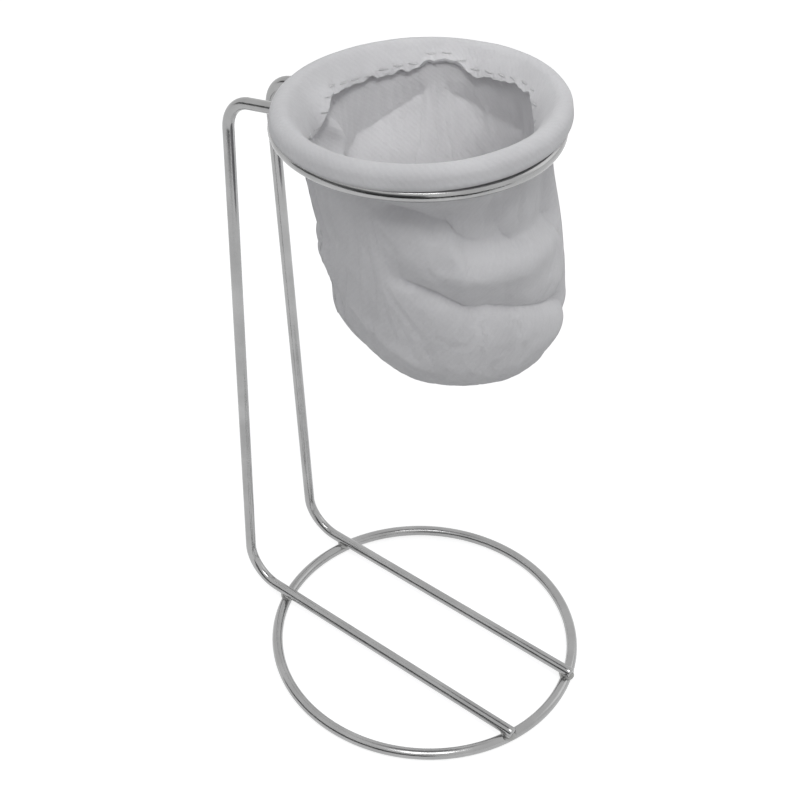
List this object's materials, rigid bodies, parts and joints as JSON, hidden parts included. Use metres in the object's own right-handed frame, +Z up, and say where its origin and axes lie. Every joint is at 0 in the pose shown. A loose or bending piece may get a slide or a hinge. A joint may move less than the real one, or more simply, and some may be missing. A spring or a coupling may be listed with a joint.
{
  "type": "coffee filter stand",
  "caption": "Bent wire stand with a round base ring and a raised ring at the top, holding a deep flannel coffee filter bag over a cup.",
  "frame": {"origin": "centre of the base ring, on the table surface", "axes": "+Z up; +Y towards the back, where the two uprights stand; the cup goes in from -Y; +X to the right seen from the front"},
  "size_m": [0.1035, 0.1191, 0.1991],
  "materials": {
    "chrome_wire": "bright chrome plating on drawn steel wire",
    "weld_metal": "plated resistance weld bead, slightly rough",
    "hoop_steel": "plain drawn stainless wire",
    "flannel": "undyed napped cotton flannel, off-white with a cool grey cast",
    "thread": "twisted cotton sewing thread, off-white"
  },
  "bodies": {
    "stand": {"base_ring": "chrome_wire", "left_leg": "chrome_wire", "right_leg": "chrome_wire", "filter_ring": "chrome_wire", "back_welds": "weld_metal", "front_welds": "weld_metal", "arm_welds": "weld_metal"},
    "filter": {"filter_hoop": "hoop_steel", "filter_band": "flannel", "filter_bag": "flannel", "hem_stitches": "thread", "seam_stitches": "thread"}
  },
  "joints": [
    {"name": "filter_lift", "type": "slide", "parent": "stand", "child": "filter", "axis": [-0.1251, 0.166, 0.9781], "range_m": [0, 0.1]}
  ]
}
